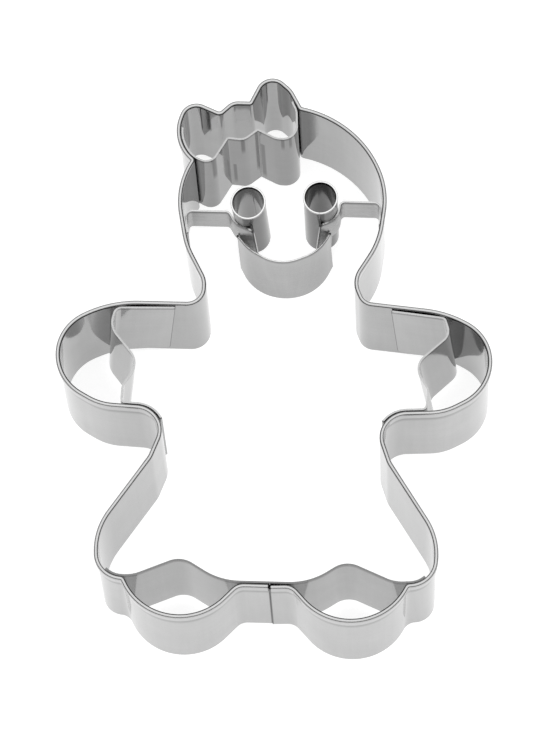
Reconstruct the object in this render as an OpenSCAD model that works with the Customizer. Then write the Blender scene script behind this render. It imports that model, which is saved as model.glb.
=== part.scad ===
// Gingerbread girl cookie cutter, bent from thin bright steel strip.
// An outer band with a folded rim cuts the figure. Shorter strips and two
// tubes inside it press the feet, the sleeves, the bow, the mouth and the eyes.
// The figure lies in the XY plane, head towards +Y, cutting edge down at z = 0.

/* [Band] */
// Height of the outer band, cutting edge to rim
band_h = 22; // [18:0.5:28]
// Thickness of the steel strip
sheet_t = 0.35; // [0.3:0.05:0.5]
// Width of the folded rim, measured outwards from the band's inner face
rim_w = 0.85; // [0.8:0.05:1.1]
// Height of the folded rim
rim_h = 2.2; // [1.5:0.1:3.5]
// Gap left between the two ends of the band
seam_gap = 0.12; // [0.05:0.01:0.3]
// Place of the seam, to the right of the middle
seam_x = 0.85; // [0:0.05:1.5]

/* [Figure] */
// Width across the hands
arm_span = 77.6; // [72:0.4:84]
// Width of the skirt
skirt_w = 60; // [58:0.2:62]
// Width of the waist
waist_w = 35.3; // [33:0.1:37]
// Width of the neck
neck_w = 26.2; // [24:0.2:27]
// Width of the head
head_w = 38; // [37.2:0.2:41]
// How far the feet reach below the skirt
foot_drop = 14.7; // [13.5:0.1:16]
// Height of the skirt's hem above the seam
hem_y = 1.2; // [0.8:0.1:1.8]
// Height of the waist above the seam
waist_y = 33.6; // [32.5:0.1:34.5]
// Height of the shoulders above the seam
shoulder_y = 54; // [53:0.1:55]
// Height of the crown, under the bow
crown_y = 92.2; // [91.5:0.1:93.5]
// How far the bow stands above the crown
bow_rise = 7.6; // [7:0.1:9]

/* [Inner strips] */
// Gap between an inner strip and the wall that it is welded to
weld_gap = 0.1; // [0.05:0.01:0.2]
// Level of the lower edges of the feet and sleeve strips
inner_z = 2; // [1:0.1:4]
// Height of the feet strip
feet_h = 19.5; // [15:0.5:20]
// How far the feet strip rises into each leg
ankle_y = 5; // [4.5:0.1:6.5]
// Height of the sleeve strips
sleeve_h = 19.4; // [15:0.2:20]
// Outward lean of the sleeve strips, over their height
sleeve_lean = 1.6; // [0:0.1:1.8]
// Level of the bow strip's lower edge
bow_z = 0.3; // [0.2:0.1:3]
// Height of the bow strip
bow_h = 21.3; // [16:0.1:21.7]

/* [Face] */
// Outside diameter of the eye tubes
eye_d = 6.3; // [5:0.1:6.6]
// Height of the eye tubes
eye_h = 17.5; // [15:0.5:18]
// Level of the eye tubes' lower edges
eye_z = 4; // [1:0.5:4]
// Left eye, to the left of the middle
left_eye_x = 5.7; // [5.4:0.1:6.2]
// Height of the left eye above the seam
left_eye_y = 74.2; // [73:0.1:75]
// Lean of the left eye tube, in degrees
left_eye_lean = 2.3; // [0:0.1:2.5]
// Right eye, to the right of the middle
right_eye_x = 7.45; // [7:0.05:8]
// Height of the right eye above the seam
right_eye_y = 75.4; // [74:0.1:76.2]
// Level of the upper edges of the eye clips
clip_top = 17.2; // [14:0.2:19]
// Height of the eye clips where they hold the tubes
clip_h = 15.6; // [10:0.2:16]
// How far the clips' ends slant towards the middle of the face
clip_slant = 0.9; // [0:0.1:1.2]
// Height of the bars that join the clips to the head
bar_h = 7; // [4:0.5:9]
// Length of the bars' bent ends along the head's wall
bar_end = 4.6; // [3:0.1:6]
// How far the left bar lies above or below its eye
left_bar_y = -0.2; // [-0.4:0.1:0.4]
// How far the right bar lies above or below its eye
right_bar_y = 1.1; // [0.6:0.1:1.3]
// Level of the mouth strip's lower edge
mouth_z = 0.4; // [0.2:0.1:2]
// Height of the mouth strip
mouth_h = 12.2; // [8:0.2:14]
// Height of the lowest point of the mouth's upper edge
mouth_y = 66.1; // [65.5:0.1:67]

/* [Hidden] */
// Largest turn of a bend between two stations, in degrees
bend_step = 9;
// Radius that stands for a sharp bend
sharp_r = 0.08;
// Distance from a wall to the middle of a strip that is welded to it
lap = weld_gap + sheet_t / 2;
// Half widths of the figure
hand_x = arm_span / 2;
skirt_x = skirt_w / 2;
waist_x = waist_w / 2;
neck_x = neck_w / 2;
head_x = head_w / 2;

// Plane geometry. A corner is [x, y, radius], and a bend is a list of corners.
function flat(p) = [p.x, p.y];
function unit(v) = v / norm(v);
function left_of(v) = [-v.y, v.x];
function turned(v, w) = [v.x * cos(w) - v.y * sin(w), v.x * sin(w) + v.y * cos(w)];
function mirrored(c) = [for (i = [len(c) - 1:-1:0]) [-c[i].x, c[i].y, c[i].z]];
function heading(a, b) = unit(flat(b) - flat(a));
// Signed turn at corner b, in degrees, positive to the left
function turn(a, b, c) =
    let (u = heading(a, b), v = heading(b, c)) atan2(cross(u, v), u * v);
// Length that the rounding of corner i takes from each of its two sides
function reach(c, i) =
    i == 0 || i == len(c) - 1 ? 0 : c[i].z * tan(abs(turn(c[i - 1], c[i], c[i + 1])) / 2);
// The same bend, with radii eased where two roundings would meet on a short side
function eased(c) =
    let (r = [for (i = [0:len(c) - 1]) reach(c, i)],
         room = [for (i = [0:len(c) - 2])
             min(1, norm(flat(c[i + 1]) - flat(c[i])) / max(sharp_r, r[i] + r[i + 1]))])
    [for (i = [0:len(c) - 1])
        i == 0 || i == len(c) - 1 ? c[i] : [c[i].x, c[i].y, c[i].z * min(room[i - 1], room[i])]];
// Number of facets in each corner of a bend
function facets(c) =
    [for (i = [0:len(c) - 1])
        i == 0 || i == len(c) - 1 ? 0 : max(1, ceil(abs(turn(c[i - 1], c[i], c[i + 1])) / bend_step))];
// Points of the arc that rounds corner b, in n facets
function corner_arc(a, b, c, n) =
    let (t = turn(a, b, c), side = sign(t), u = heading(a, b),
         start = flat(b) - u * b.z * tan(abs(t) / 2),
         centre = start + side * b.z * left_of(u), spoke = start - centre)
    [for (k = [0:n]) centre + turned(spoke, t * k / n)];
// All points of a bend, with n[i] facets in corner i
function rounded_with(c, n) =
    [for (i = [0:len(c) - 1])
        each n[i] == 0 ? [flat(c[i])] : corner_arc(c[i - 1], c[i], c[i + 1], n[i])];
function rounded(c) = rounded_with(c, facets(c));
// The same bend, moved d to the left of its direction of travel
function beside(c, d) =
    [for (i = [0:len(c) - 1])
        i == 0 ? concat(flat(c[0]) + d * left_of(heading(c[0], c[1])), [0])
        : i == len(c) - 1 ? concat(flat(c[i]) + d * left_of(heading(c[i - 1], c[i])), [0])
        : let (t = turn(c[i - 1], c[i], c[i + 1]),
               n = unit(left_of(heading(c[i - 1], c[i])) + left_of(heading(c[i], c[i + 1]))))
          concat(flat(c[i]) + d * n / cos(t / 2), [max(sharp_r, c[i].z - sign(t) * d)])];
// Part of the rounding of the middle one of three corners: where it starts, its own corner,
// and where it ends. from and to are shares of the rounding.
function arc_part(c, from, to) =
    let (t = turn(c[0], c[1], c[2]), u = heading(c[0], c[1]),
         foot = flat(c[1]) - u * c[1].z * tan(abs(t) / 2),
         centre = foot + sign(t) * c[1].z * left_of(u), spoke = foot - centre,
         start = centre + turned(spoke, t * from),
         knee = start + c[1].z * tan(abs(t) * (to - from) / 2) * turned(u, t * from))
    [concat(start, [0]), concat(knee, [c[1].z]), concat(centre + turned(spoke, t * to), [0])];
// Its first share, without the place where it starts
function first_part(c, share) = let (part = arc_part(c, 0, share)) [part[1], part[2]];
// The three corners round corner i, moved d to the left, and the same from the other side
function around(c, i, d) = beside([c[i - 1], c[i], c[i + 1]], d);
function back_around(c, i, d) = beside([c[i + 1], c[i], c[i - 1]], -d);
// A corner of radius r between corners i and i + 1, at share s of the way, moved d to the left
function beside_line(c, i, s, d, r = 0) =
    concat(flat(c[i]) * (1 - s) + flat(c[i + 1]) * s + d * left_of(heading(c[i], c[i + 1])), [r]);
// Where a line through p with direction u reaches height y
function meet_y(p, u, y) = flat(p) + u * (y - p.y) / u.y;

// Inner face of the band, from the seam round the right side and back
waist_gap = 13.4;
right_half = [
    [4.75, 0.3, 1],
    [17.7, hem_y - foot_drop, 10.6],
    [25.2, hem_y - 0.15, 1.1],
    [skirt_x - 0.4, hem_y + 0.2, 4.4],
    [skirt_x + 0.3, hem_y + 8.3, 12.2],
    [waist_x + 3.5, waist_y - 10, 5],
    [waist_x, waist_y - 0.2, 5],
    [waist_x + waist_gap, waist_y + 0.5, 10],
    [hand_x - 0.2, waist_y + 4.8, 8.7],
    [hand_x + 0.3, shoulder_y - 5.9, 8],
    [hand_x - 7.6, shoulder_y - 1.4, 18.7]];
right_head = [
    [neck_x + 2.6, shoulder_y + 0.1, 3],
    [neck_x + 0.5, shoulder_y + 5, 5.1],
    [head_x - 0.9, shoulder_y + 12.8, 15.7],
    [head_x + 0.25, crown_y - 15.2, 16.6],
    [head_x - 5.8, crown_y - 2, 17.7],
    [3, crown_y, 1]];
bow = [
    [0.85, crown_y + bow_rise - 3.4, 4.6],
    [-3, crown_y + bow_rise, 2.3],
    [-5.8, crown_y + 1.3, 0.8],
    [-9.2, crown_y + 1.3, 1.9],
    [-11.6, crown_y - 1.1, 1.4],
    [-17.5, crown_y + 1.5, 2.3],
    [-19.9, crown_y - 6.1, 8],
    [-15.8, crown_y - 9.9, 1.1]];
left_head = [
    [0.25 - head_x, crown_y - 15.3, 19.5],
    [2.6 - head_x, shoulder_y + 11.3, 15.4],
    [0.3 - neck_x, shoulder_y + 4.5, 5.1],
    [0.2 - neck_x, shoulder_y - 0.8, 3.5],
    [8.6 - hand_x, shoulder_y - 0.8, 20]];
left_half = mirrored([for (i = [0:len(right_half) - 2]) right_half[i]]);
band = eased(concat([[seam_x + seam_gap / 2, 0.3, 0]], right_half, right_head, bow, left_head,
                    left_half, [[seam_x - seam_gap / 2, 0.3, 0]]));
// Numbers of some of the band's corners
skirt_corner = 4;
right_waist = 7;
left_waist = len(band) - 1 - right_waist;
right_arm = len(right_half);
left_neck = len(band) - 2 - right_arm;
bow_foot = right_arm + len(right_head);
bow_cheek = bow_foot + 7;

// The figure's middle goes to the origin
rim_line = rounded(beside(band, -rim_w));
rim_x = [for (p = rim_line) p.x];
rim_y = [for (p = rim_line) p.y];
middle = [(min(rim_x) + max(rim_x)) / 2, (min(rim_y) + max(rim_y)) / 2];

// Point of the head's or bow's inner wall at height y, moved d inwards. side is 1 or -1.
wall_line = rounded(band);
function wall_point(side, y, d) =
    [for (i = [0:len(wall_line) - 2])
        let (p = wall_line[i], q = wall_line[i + 1])
        if (side * p.x > neck_x && p.y > shoulder_y + 4 && (p.y - y) * (q.y - y) <= 0 && p.y != q.y)
            concat(meet_y(p, heading(p, q), y) + d * left_of(heading(p, q)), [0])][0];

// Strip of sheet bent along c, from z to z + h
module strip(bend, z, h) {
    c = eased(bend);
    n = facets(c);
    a = rounded_with(beside(c, sheet_t / 2), n);
    b = rounded_with(beside(c, -sheet_t / 2), n);
    translate([0, 0, z])
        linear_extrude(h)
            polygon(concat(b, [for (i = [len(a) - 1:-1:0]) a[i]]));
}

// Closed skin over rings of points. Each ring is a section of a bent sheet.
module skin(rings) {
    m = len(rings[0]);
    last = len(rings) - 1;
    polyhedron(
        points = [for (r = rings) each r],
        faces = concat(
            [[for (j = [0:m - 1]) j]],
            [for (i = [0:last - 1], j = [0:m - 1])
                let (a = i * m + j, b = i * m + (j + 1) % m) each [[a, a + m, b], [b, a + m, b + m]]],
            [[for (j = [m - 1:-1:0]) last * m + j]]));
}

// Sheet whose upper edge follows one bend and whose lower edge follows another
module leaning_strip(upper, lower, z, h) {
    n = facets(upper);
    a = eased(lower);
    b = eased(upper);
    edge = [
        rounded_with(beside(a, sheet_t / 2), n),
        rounded_with(beside(a, -sheet_t / 2), n),
        rounded_with(beside(b, -sheet_t / 2), n),
        rounded_with(beside(b, sheet_t / 2), n)];
    level = [z, z, z + h, z + h];
    skin([for (i = [0:len(edge[0]) - 1]) [for (j = [3:-1:0]) concat(edge[j][i], [level[j]])]]);
}

// Outer band: a wall whose upper edge is folded outwards and down into a rim.
// profile is its section: distance outwards from the inner face, and height.
module outer_band() {
    n = facets(band);
    hem_z = band_h - rim_h;
    r = rim_w / 2;
    profile = concat([[0, 0], [sheet_t, 0], [sheet_t, hem_z], [rim_w, hem_z]],
                     [for (w = [0:45:180]) [r + r * cos(w), band_h - r + r * sin(w)]]);
    lines = [for (p = profile) rounded_with(beside(band, -p.x), n)];
    color("gainsboro")
        skin([for (i = [0:len(wall_line) - 1])
            [for (j = [len(profile) - 1:-1:0]) concat(lines[j][i], [profile[j].y])]]);
}

// Feet strip: hugs the band between the legs and closes each foot off
function leg(peak_x) = concat([
    [8, 0.3 + lap + 0.1, 12.4],
    [peak_x, ankle_y, 4.3],
    [peak_x + 8.8, hem_y, 7]],
    first_part(around(band, skirt_corner, lap), 0.5));
left_ankle_x = 15.1;
right_ankle_x = 14.3;
module feet_strip() {
    color("silver")
        strip(concat(mirrored(leg(left_ankle_x)), leg(right_ankle_x)), inner_z, feet_h);
}

// Sleeve strips: a tab on the shoulder, a bend across the arm and a tail on the waist
tail_gap = lap + 0.15;
left_sleeve = concat([
    beside_line(band, left_neck, 0.31, lap),
    beside_line(band, left_neck, 0.94, lap + 0.25, 1.4),
    [8.8 - hand_x, shoulder_y - 5.1, 4.1],
    [14.5 - hand_x, waist_y + 8.4, 3.7],
    [11.6 - hand_x, waist_y + 4, 2.8],
    beside_line(band, left_waist - 1, 0.28, tail_gap, 0.7)],
    first_part(around(band, left_waist, tail_gap), 0.55));
right_sleeve = concat([
    beside_line(band, right_arm, 0.65, lap + 0.1),
    beside_line(band, right_arm, 0.02, lap + 0.25, 0.8),
    [hand_x - 6.9, shoulder_y - 5.1, 2.5],
    [hand_x - 13.4, waist_y + 9.1, 3.3],
    [hand_x - 10.5, waist_y + 4.4, 2.9],
    beside_line(band, right_waist, 0.765, tail_gap, 0.9)],
    first_part(back_around(band, right_waist, tail_gap), 0.5));
// How far each corner of a sleeve leans outwards and down, as a share of the lean
lean_out = [1, 1, 1, 1.25, 1.1, 0.5, 0, 0];
lean_down = [0, 0.35, 0.1, 0, 0, 0, 0, 0];
function leaned(c, side) =
    [for (i = [0:len(c) - 1])
        [c[i].x + side * sleeve_lean * lean_out[i], c[i].y - sleeve_lean * lean_down[i], c[i].z]];
module sleeve_strip(c, side) {
    color("silver")
        leaning_strip(c, leaned(c, side), inner_z, sleeve_h);
}
module left_sleeve_strip() {
    sleeve_strip(left_sleeve, -1);
}
module right_sleeve_strip() {
    sleeve_strip(right_sleeve, 1);
}

// Bow strip: two loops and the knot's two folds, lapped on the bow's inner wall
bow_end = arc_part(around(band, bow_cheek, lap), 0.22, 0.86);
bow_fold = [
    bow_end[0],
    bow_end[1],
    concat(flat(bow_end[2]) + 1.3 * heading(bow_end[1], bow_end[2]), [4.7]),
    [-13, crown_y - 10.6, 2.1],
    [-10.1, crown_y - 5.3, 0.35],
    [-7.1, crown_y - 5.6, 2.4],
    [-4.6, crown_y - 3.5, 0.3],
    [-1.2, crown_y - 5.2, 3],
    [2.8, crown_y - 5.4, 2.6],
    [2.45, crown_y + 0.5, 3],
    beside_line(band, bow_foot, 0.52, lap)];
module bow_strip() {
    color("silver")
        strip(bow_fold, bow_z, bow_h);
}

// Eye tubes. The left one leans a little.
left_eye = [-left_eye_x, left_eye_y];
right_eye = [right_eye_x, right_eye_y];
module eye_tube(at, lean) {
    color("silver")
        translate([at.x, at.y, clip_top])
            rotate([lean * 0.7, -lean * 0.7, 0])
                translate([0, 0, eye_z - clip_top])
                    difference() {
                        cylinder(d = eye_d, h = eye_h, $fn = 64);
                        translate([0, 0, -1])
                            cylinder(d = eye_d - 2 * sheet_t, h = eye_h + 2, $fn = 64);
                    }
}
module left_eye_tube() {
    eye_tube(left_eye, left_eye_lean);
}
module right_eye_tube() {
    eye_tube(right_eye, 0);
}

// Eye clips: a bent end on the head's wall, a bar, and a cheek that holds the tube
hug_r = eye_d / 2 + lap;
// Corner that wraps the tube, for directions of travel a and b in degrees
function hug(at, a, b) =
    let (side = sign(b - a), out = (a + b) / 2 - 90 * side, d = hug_r / cos((b - a) / 2))
    [at.x + d * cos(out), at.y + d * sin(out), hug_r];
function clip_bend(side, at, bar_y, a, b, nose) =
    let (h = hug(at, a, b), y = at.y + bar_y,
         foot = wall_point(side, y - bar_end, lap), heel = wall_point(side, y, lap),
         knee = meet_y(h, [cos(a), sin(a)], y), tip = flat(h) + nose * [cos(b), sin(b)])
    [foot, [heel.x, heel.y, 1.2], [knee.x, knee.y, 1], h, [tip.x, tip.y, 0]];
left_clip = clip_bend(-1, left_eye, left_bar_y, -60, -21, 4.4);
right_clip = clip_bend(1, right_eye, right_bar_y, -95, -158, 4.9);
// Under its bar a clip is cut away, as far as the mouth's end
module eye_clip(c, mouth_end) {
    side = sign(mouth_end.x);
    foot = c[0];
    tip = c[len(c) - 1];
    window_w = abs(foot.x - mouth_end.x) + 2;
    slant_h = 11;
    color("silver")
        difference() {
            strip(c, clip_top - clip_h, clip_h);
            translate([min(mouth_end.x, mouth_end.x + side * window_w), foot.y - 3, 0])
                cube([window_w, bar_end + 7, clip_top - bar_h]);
            translate([tip.x - side, tip.y + 2, clip_top])
                rotate([90, 0, 0])
                    linear_extrude(4)
                        polygon([[0, 1], [0, -slant_h - 1], [side, -slant_h], [side * (1 + clip_slant), 0],
                                 [side * (1 + clip_slant), 1]]);
        }
}
module left_eye_clip() {
    eye_clip(left_clip, left_end);
}
module right_eye_clip() {
    eye_clip(right_clip, right_end);
}

// Mouth strip: a wide curve under the eyes, whose ends lie against the clips
left_end = left_eye + (hug_r + sheet_t + 0.1) * [cos(235), sin(235)];
right_end = right_eye + (hug_r + sheet_t + 0.1) * [cos(296), sin(296)];
mouth_upper = [
    [left_end.x, left_end.y, 0],
    [-5.85, mouth_y + 2.4, 8.5],
    [0, mouth_y - 0.85, 7.5],
    [7.3, mouth_y + 2.3, 7.8],
    [right_end.x, right_end.y, 0]];
// Lower edge, drawn out towards the chin
mouth_lower = [
    [left_end.x + 0.3, left_end.y - 1.2, 0],
    [-5.1, mouth_y - 1.35, 8.2],
    [0.85, mouth_y - 2.45, 8.7],
    [6.9, mouth_y - 1.25, 8.4],
    [right_end.x + 0.3, right_end.y - 1.4, 0]];
module mouth_strip() {
    color("silver")
        leaning_strip(mouth_upper, mouth_lower, mouth_z, mouth_h);
}

translate([-middle.x, -middle.y, 0]) {
    outer_band();
    feet_strip();
    left_sleeve_strip();
    right_sleeve_strip();
    bow_strip();
    mouth_strip();
    left_eye_clip();
    right_eye_clip();
    left_eye_tube();
    right_eye_tube();
}
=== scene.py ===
"""Gingerbread girl cookie cutter, bent from thin bright steel strip.

Every strip is cut to its flat shape, bent along its own line and given its real
thickness and eased edges, in the place of the plain solid that it replaces.
Lengths are in millimetres until a mesh is written, which is in metres.
"""

import sys
import bisect
import functools
import logging
import math
from dataclasses import dataclass
from enum import Enum
from typing import Sequence

import bmesh
import bpy
from mathutils import Euler, Matrix, Vector


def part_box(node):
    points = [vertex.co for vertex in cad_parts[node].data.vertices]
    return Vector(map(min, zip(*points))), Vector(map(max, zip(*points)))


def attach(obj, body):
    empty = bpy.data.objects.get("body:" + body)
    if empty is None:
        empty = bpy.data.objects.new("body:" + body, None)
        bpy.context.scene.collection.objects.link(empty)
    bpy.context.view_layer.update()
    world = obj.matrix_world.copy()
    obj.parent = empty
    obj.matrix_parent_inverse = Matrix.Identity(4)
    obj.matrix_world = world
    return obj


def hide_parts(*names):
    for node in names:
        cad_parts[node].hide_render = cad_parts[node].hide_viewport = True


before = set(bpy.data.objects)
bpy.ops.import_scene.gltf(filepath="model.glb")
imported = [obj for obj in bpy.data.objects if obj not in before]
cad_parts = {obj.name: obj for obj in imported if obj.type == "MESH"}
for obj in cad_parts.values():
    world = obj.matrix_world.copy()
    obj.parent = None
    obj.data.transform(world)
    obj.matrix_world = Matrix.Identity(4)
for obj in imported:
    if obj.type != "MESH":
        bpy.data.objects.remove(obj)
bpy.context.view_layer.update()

LOG = logging.getLogger("cutter")
MM = 0.001
BODY = "root"
# Radius of a bend that looks sharp.
SHARP = 0.08
# Height of the rows of faces beside a strip's long edges.
EDGE_ROW = 1.2
# Largest turn between two stations along a bend, in degrees, and longest straight piece.
FACET_TURN = 3.0
STRETCH = 1.5
# Stretch that leaves each straight run whole.
WHOLE = 100.0
# Distance at which two vertices become one.
MERGE = 0.002
# Depth below a strip's left face at which the finish of its right face is full.
FACE_DEPTH = 0.1
# Shares of a painted shade line's width between which it fades out.
LINE_FADE = (0.5, 1.5)
# Range in which most of a noise lies, and how much noise varies the roughness.
NOISE_RANGE = (0.3, 0.7)
ROUGH_SHARE = 0.2

# Numbers of one corner, place or list of shares.
Row = tuple[float, ...]
Socket = bpy.types.NodeSocket
# What an input of a node takes.
Input = Socket | float | Row


class Slot(Enum):
    """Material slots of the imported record."""

    BAND = "band"
    STRIPS = "inner_strips"
    TUBES = "eye_tubes"


class Side(Enum):
    """The photograph's left and right."""

    LEFT = -1
    RIGHT = 1

    @property
    def word(self) -> str:
        """The side's name, as it stands in a piece's name."""
        return self.name.lower()


def unit_at(degrees: float) -> Vector:
    """Unit vector that points `degrees` from +X."""
    return Vector((math.cos(math.radians(degrees)), math.sin(math.radians(degrees))))


def left_of(v: Vector) -> Vector:
    """The vector turned a quarter turn to the left."""
    return Vector((-v.y, v.x))


def turned(v: Vector, angle: float) -> Vector:
    """The vector turned to the left by an angle in radians."""
    return Matrix.Rotation(angle, 2) @ v


def linked(name: str, data: bpy.types.ID) -> bpy.types.Object:
    """Makes an object in the scene.

    Args:
        name: The object's name.
        data: Its mesh, camera or lamp.

    Returns:
        The new object.
    """
    made = bpy.data.objects.new(name, data)
    bpy.context.scene.collection.objects.link(made)
    return made


@dataclass(frozen=True)
class Corner:
    """A corner of a bend and the radius that rounds it.

    Args:
        x: Distance to the right of the figure's middle.
        y: Distance above the seam.
        r: Bend radius.
        extra: How much softer the bend is at the strip's lower edge.
    """

    x: float
    y: float
    r: float = 0.0
    extra: float = 0.0

    @property
    def at(self) -> Vector:
        """The corner's place."""
        return Vector((self.x, self.y))


@dataclass(frozen=True)
class Plan:
    """How finely a bend is cut.

    Args:
        facets: Facets in each corner.
        runs: Pieces in each straight run.
    """

    facets: tuple[int, ...]
    runs: tuple[int, ...]


@dataclass(frozen=True)
class Bend:
    """A line through corners, each rounded by its own radius.

    Args:
        corners: The corners, in the order of travel.
    """

    corners: tuple[Corner, ...]

    @classmethod
    def through(cls, rows: Sequence[Row]) -> "Bend":
        """Makes a bend from (x, y, radius) rows."""
        return cls(tuple(Corner(*row) for row in rows))

    @property
    def last(self) -> int:
        """Number of the last corner."""
        return len(self.corners) - 1

    def heading(self, i: int) -> Vector:
        """Direction of travel from corner i to the next one."""
        return (self.corners[i + 1].at - self.corners[i].at).normalized()

    def turn(self, i: int) -> float:
        """Works out how far the bend turns at a corner.

        Args:
            i: Number of the corner.

        Returns:
            The turn in radians, positive to the left.
        """
        if i in (0, self.last):
            return 0.0
        a, b = self.heading(i - 1), self.heading(i)
        return math.atan2(a.x * b.y - a.y * b.x, a.dot(b))

    def reach(self, i: int) -> float:
        """Length that the rounding of corner i takes from each of its sides."""
        return self.corners[i].r * math.tan(abs(self.turn(i)) / 2)

    def side(self, i: int) -> float:
        """Length of the side from corner i to the next one."""
        return (self.corners[i + 1].at - self.corners[i].at).length

    def eased(self) -> "Bend":
        """Shares out the sides that are too short for the radii at both their ends.

        Returns:
            The same bend, with smaller radii there.
        """
        room = [min(1.0, self.side(i) / max(SHARP, self.reach(i) + self.reach(i + 1)))
                for i in range(self.last)]
        kept = [Corner(c.x, c.y, c.r * min(room[i], room[i + 1]), c.extra)
                for i, c in enumerate(self.corners[1:-1])]
        return Bend((self.corners[0], *kept, self.corners[-1]))

    def softer(self, share: float) -> "Bend":
        """The same bend with a share of each corner's extra radius."""
        return Bend(tuple(Corner(c.x, c.y, c.r + c.extra * share) for c in self.corners))

    def beside(self, distance: float) -> "Bend":
        """The bend moved to the left of its direction of travel.

        Args:
            distance: How far it moves.

        Returns:
            The moved bend, with the same number of corners.
        """
        moved = []
        for i, c in enumerate(self.corners):
            turn = self.turn(i)
            before = left_of(self.heading(max(i - 1, 0)))
            after = left_of(self.heading(min(i, self.last - 1)))
            at = c.at + (before + after).normalized() * (distance / math.cos(turn / 2))
            radius = max(SHARP, c.r - (distance if turn > 0 else -distance)) if turn else 0.0
            moved.append(Corner(at.x, at.y, radius, c.extra))
        return Bend(tuple(moved))

    def mirrored(self) -> "Bend":
        """The bend on the figure's other side, travelled backwards."""
        return Bend(tuple(Corner(-c.x, c.y, c.r, c.extra) for c in reversed(self.corners)))

    def around(self, i: int, distance: float) -> "Bend":
        """The three corners round corner i, moved to the left."""
        return Bend(self.corners[i - 1:i + 2]).beside(distance)

    def back_around(self, i: int, distance: float) -> "Bend":
        """The same three corners, travelled backwards, moved to the same side."""
        return Bend(self.corners[i - 1:i + 2][::-1]).beside(-distance)

    def arc_part(self, start: float, end: float) -> list[Corner]:
        """Part of the rounding of the middle one of three corners.

        Args:
            start: Share of the rounding at which the part starts.
            end: Share at which it ends.

        Returns:
            Where it starts, its own corner, and where it ends.
        """
        r, turn, ahead = self.corners[1].r, self.turn(1), self.heading(0)
        foot = self.corners[1].at - ahead * self.reach(1)
        centre = foot + left_of(ahead) * math.copysign(r, turn)
        first = centre + turned(foot - centre, turn * start)
        reach = r * math.tan(abs(turn) * (end - start) / 2)
        knee = first + turned(ahead, turn * start) * reach
        last = centre + turned(foot - centre, turn * end)
        return [Corner(first.x, first.y), Corner(knee.x, knee.y, r), Corner(last.x, last.y)]

    def beside_line(self, i: int, share: float, distance: float, r: float = 0.0) -> Corner:
        """Makes a corner beside the straight line from corner i to the next one.

        Args:
            i: Number of the corner.
            share: Share of the line at which the new corner lies.
            distance: How far it lies to the left of the line.
            r: Its radius.

        Returns:
            The new corner.
        """
        at = self.corners[i].at.lerp(self.corners[i + 1].at, share)
        at += left_of(self.heading(i)) * distance
        return Corner(at.x, at.y, r)

    def plan(self, turn: float = FACET_TURN, stretch: float = STRETCH) -> Plan:
        """Works out how finely the bend is cut.

        Args:
            turn: Largest turn between two stations, in degrees.
            stretch: Longest straight piece.

        Returns:
            The plan, which also fits each line beside the bend.
        """
        facets = tuple(max(2, math.ceil(abs(math.degrees(self.turn(i))) / turn))
                       if 0 < i < self.last else 0 for i in range(self.last + 1))
        runs = tuple(max(1, math.ceil((self.side(i) - self.reach(i) - self.reach(i + 1)) / stretch))
                     for i in range(self.last))
        return Plan(facets, runs)

    def points(self, plan: Plan) -> list[Vector]:
        """Places the stations along the bend.

        Args:
            plan: How finely it is cut.

        Returns:
            The stations, from its start to its end.
        """
        made: list[Vector] = []
        for i, c in enumerate(self.corners):
            arc = [c.at] if i in (0, self.last) else self.arc(i, plan.facets[i])
            if made:
                start, pieces = made[-1], plan.runs[i - 1]
                made.extend(start.lerp(arc[0], k / pieces) for k in range(1, pieces))
            made.extend(arc)
        return made

    def arc(self, i: int, facets: int) -> list[Vector]:
        """Places the points of the arc that rounds a corner.

        Args:
            i: Number of the corner.
            facets: Facets in the arc.

        Returns:
            The points, with both ends of the arc.
        """
        c, turn, ahead = self.corners[i], self.turn(i), self.heading(i - 1)
        start = c.at - ahead * self.reach(i)
        centre = start + left_of(ahead) * math.copysign(c.r, turn)
        return [centre + turned(start - centre, turn * k / facets) for k in range(facets + 1)]


@dataclass(frozen=True)
class Track:
    """Stations along a line.

    Args:
        points: Their places.
        along: The distance of each one from the start.
    """

    points: tuple[Vector, ...]
    along: tuple[float, ...]

    @classmethod
    def of(cls, points: Sequence[Vector]) -> "Track":
        """Measures the line through some points.

        Args:
            points: The points.

        Returns:
            The track along them.
        """
        along = [0.0]
        for a, b in zip(points, points[1:]):
            along.append(along[-1] + (b - a).length)
        return cls(tuple(points), tuple(along))

    @property
    def length(self) -> float:
        """Length of the whole line."""
        return self.along[-1]

    def number(self, distance: float) -> float:
        """Finds the station at a distance.

        Args:
            distance: Distance from the start.

        Returns:
            The station's number, with a fraction where it lies between two.
        """
        i = min(max(bisect.bisect_right(self.along, distance) - 1, 0), len(self.along) - 2)
        piece = self.along[i + 1] - self.along[i]
        return i + ((distance - self.along[i]) / piece if piece else 0.0)


def between(points: Sequence[Vector], number: float) -> Vector:
    """The place between two stations of a line."""
    i = min(max(int(number), 0), len(points) - 2)
    return points[i].lerp(points[i + 1], number - i)


@dataclass(frozen=True)
class Profile:
    """Closed cross-section of a strip.

    Args:
        points: (distance to the left of the bend, height) of each point.
    """

    points: tuple[tuple[float, float], ...]

    @classmethod
    def rounded(cls, rows: Sequence[Row], facets: int = 3, margin: float = 0.25) -> "Profile":
        """A closed outline whose corners are rounded.

        Args:
            rows: (distance, height, radius) of each corner.
            facets: Facets in each rounding.
            margin: Width beside each rounding over which the shading settles to flat.

        Returns:
            The profile.
        """
        loop = Bend.through([rows[-1], *rows, rows[0]]).eased()
        points: list[Vector] = []
        for i in range(1, loop.last):
            points.extend(loop.arc(i, facets))
            gap = loop.side(i) - loop.reach(i) - loop.reach(i % (loop.last - 1) + 1)
            if gap > 3 * margin:
                ahead = loop.heading(i)
                points.append(points[-1] + ahead * margin)
                points.append(points[-1] + ahead * (gap - 2 * margin))
        return cls(tuple((p.x, p.y) for p in points))


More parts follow.
